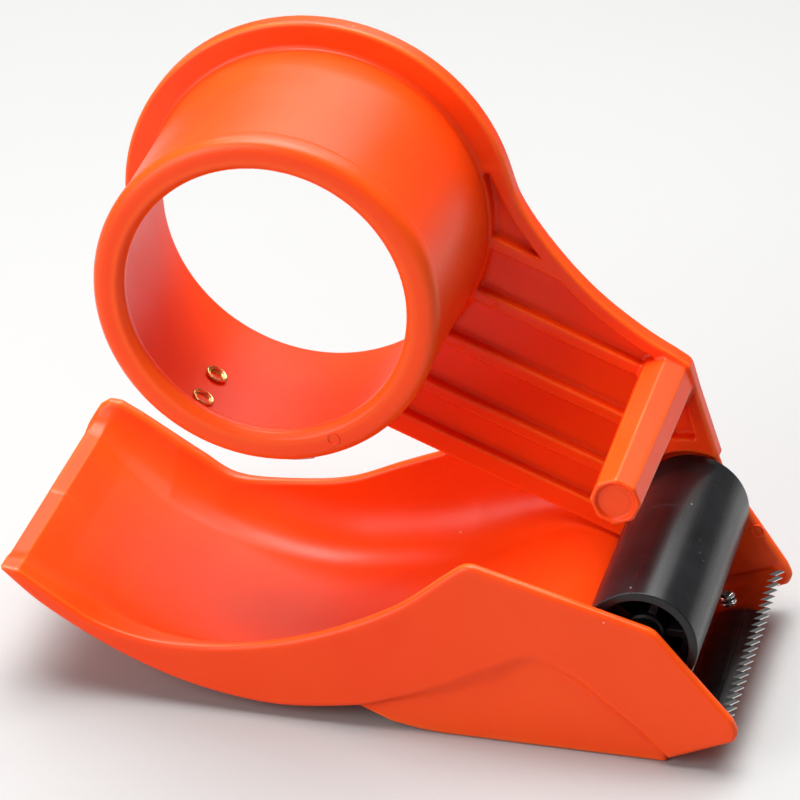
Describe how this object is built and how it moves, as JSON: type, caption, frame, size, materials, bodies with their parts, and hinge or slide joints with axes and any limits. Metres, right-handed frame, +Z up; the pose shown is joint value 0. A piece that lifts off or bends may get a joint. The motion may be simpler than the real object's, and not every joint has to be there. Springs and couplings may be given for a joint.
{
  "type": "packing tape dispenser",
  "caption": "Hand-held carton-sealing tape dispenser: tape hub on a ribbed side arm, curved trough, free roller and serrated nose blade.",
  "frame": {"origin": "middle of the footprint, on the surface the dispenser stands on", "axes": "+X forward to the cutting nose, +Y across from the open side to the arm side, +Z up; the hub and the roller turn about Y"},
  "size_m": [0.1616, 0.071, 0.1347],
  "materials": {
    "orange_plastic": "glossy injection-moulded ABS",
    "black_plastic": "glossy extruded tube, fine scratches",
    "dark_plastic": "satin moulded",
    "steel": "zinc plated",
    "blade_steel": "polished strip with ground teeth",
    "spring_steel": "tempered spring strip",
    "brass": "bright brass"
  },
  "bodies": {
    "body": {"hub_and_arm": "orange_plastic", "trough": "orange_plastic", "roller_axle": "steel", "cutting_blade": "blade_steel", "blade_screw_near": "steel", "blade_screw_far": "steel", "joint_screw_post": "steel", "joint_screw_front": "steel", "joint_screw_rear": "steel", "eyelet_front": "brass", "eyelet_rear": "brass"},
    "roller": {"roller_sleeve": "black_plastic", "roller_plug_near": "dark_plastic", "roller_plug_far": "dark_plastic"},
    "spring": {"core_spring": "spring_steel"}
  },
  "joints": [
    {"name": "roller_spin", "type": "hinge", "parent": "body", "child": "roller", "pos_m": [0.0585, 0, 0.0265], "axis": [0, 1, 0], "continuous": true},
    {"name": "core_spring_flex", "type": "hinge", "parent": "body", "child": "spring", "pos_m": [-0.0443, -0.0025, 0.0571], "axis": [0, 1, 0], "range_deg": [-3, 0], "stiffness_Nm_per_rad": 2}
  ]
}
